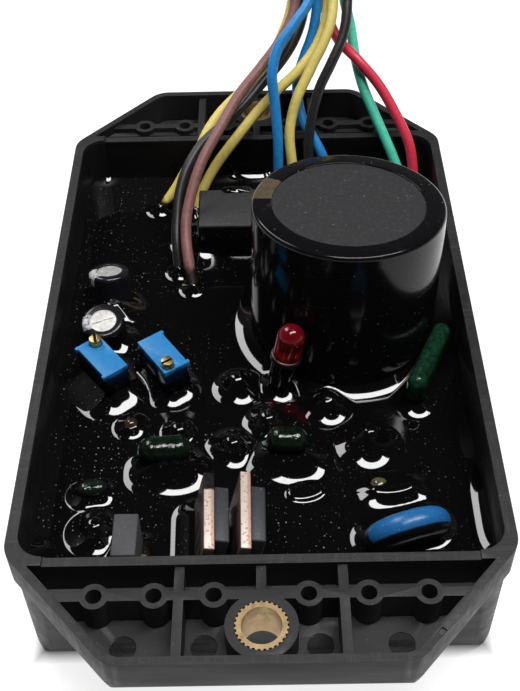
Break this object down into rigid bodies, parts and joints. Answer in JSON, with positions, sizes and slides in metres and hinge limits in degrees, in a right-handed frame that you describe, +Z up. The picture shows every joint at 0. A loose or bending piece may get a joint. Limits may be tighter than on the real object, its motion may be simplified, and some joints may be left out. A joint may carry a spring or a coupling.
{
  "type": "automatic voltage regulator",
  "caption": "Potted generator voltage regulator: black moulded tray with bolt-down flanges, glossy resin round a large capacitor, a relay and trimmers, and coloured leads to a white connector.",
  "frame": {"origin": "middle of the case's base, on the surface it stands on", "axes": "+X across the case, +Y along it from the trimmer end to the lead end, +Z up"},
  "size_m": [0.078, 0.2745, 0.0668],
  "materials": {
    "case_plastic": "fine moulded black, satin on the rim",
    "brass": "turned brass, slightly dull",
    "board": "coated laminate",
    "resin": "glossy black cast resin with dust",
    "can_metal": "drawn aluminium",
    "black_sleeve": "shrunk plastic sleeve",
    "grey_disc": "matt dark grey disc with specks",
    "relay_plastic": "sealed plastic cover",
    "trimmer_blue": "moulded blue",
    "red_lens": "tinted clear epoxy",
    "spacer_plastic": "black spacer under a skin of resin",
    "tab_metal": "plated copper tab",
    "device_plastic": "moulded epoxy",
    "varistor_blue": "dipped blue coating",
    "brown_ceramic": "dipped tan coating",
    "diode_glass": "olive glass under resin",
    "green_dip": "dark green dipped coating",
    "lead_brown": "soft insulation",
    "lead_black": "soft insulation",
    "lead_yellow": "soft insulation",
    "lead_blue": "soft insulation",
    "lead_green": "soft insulation",
    "lead_red": "soft insulation",
    "nylon": "natural white nylon"
  },
  "bodies": {
    "root": {"case": "case_plastic", "mount_bush_near": "brass", "mount_bush_far": "brass", "circuit_board": "board", "potting_resin": "resin", "main_capacitor_can": "can_metal", "main_capacitor_sleeve": "black_sleeve", "main_capacitor_disc": "grey_disc", "relay": "relay_plastic", "small_capacitor_far_can": "can_metal", "small_capacitor_far_sleeve": "black_sleeve", "small_capacitor_near_can": "can_metal", "small_capacitor_near_sleeve": "black_sleeve", "trimmer_left": "trimmer_blue", "trimmer_right": "trimmer_blue", "indicator_led": "red_lens", "led_spacer": "spacer_plastic", "film_capacitor_side": "green_dip", "film_capacitor_left": "green_dip", "film_capacitor_middle": "green_dip", "film_capacitor_small": "green_dip", "power_tab_left": "tab_metal", "power_body_left": "device_plastic", "power_tab_right": "tab_metal", "power_body_right": "device_plastic", "driver_transistor": "device_plastic", "varistor": "varistor_blue", "ceramic_capacitor": "brown_ceramic", "glass_diode": "diode_glass", "small_transistor_a": "device_plastic", "small_transistor_b": "device_plastic", "small_transistor_c": "device_plastic", "small_transistor_d": "device_plastic", "small_transistor_e": "device_plastic", "small_transistor_f": "device_plastic", "small_transistor_g": "device_plastic", "small_transistor_h": "device_plastic", "wire_brown": "lead_brown", "wire_black_left": "lead_black", "wire_yellow_left": "lead_yellow", "wire_yellow_middle": "lead_yellow", "wire_blue_left": "lead_blue", "wire_yellow_right": "lead_yellow", "wire_blue_right": "lead_blue", "wire_black_right": "lead_black", "wire_green": "lead_green", "wire_red": "lead_red", "wire_connector": "nylon"},
    "left_adjuster": {"trimmer_left_screw": "brass"},
    "right_adjuster": {"trimmer_right_screw": "brass"}
  },
  "joints": [
    {"name": "left_trim", "type": "hinge", "parent": "root", "child": "left_adjuster", "pos_m": [-0.02966, -0.00559, 0.0262], "axis": [0, 0, 1], "continuous": true},
    {"name": "right_trim", "type": "hinge", "parent": "root", "child": "right_adjuster", "pos_m": [-0.01624, -0.01138, 0.0262], "axis": [0, 0, 1], "continuous": true}
  ]
}
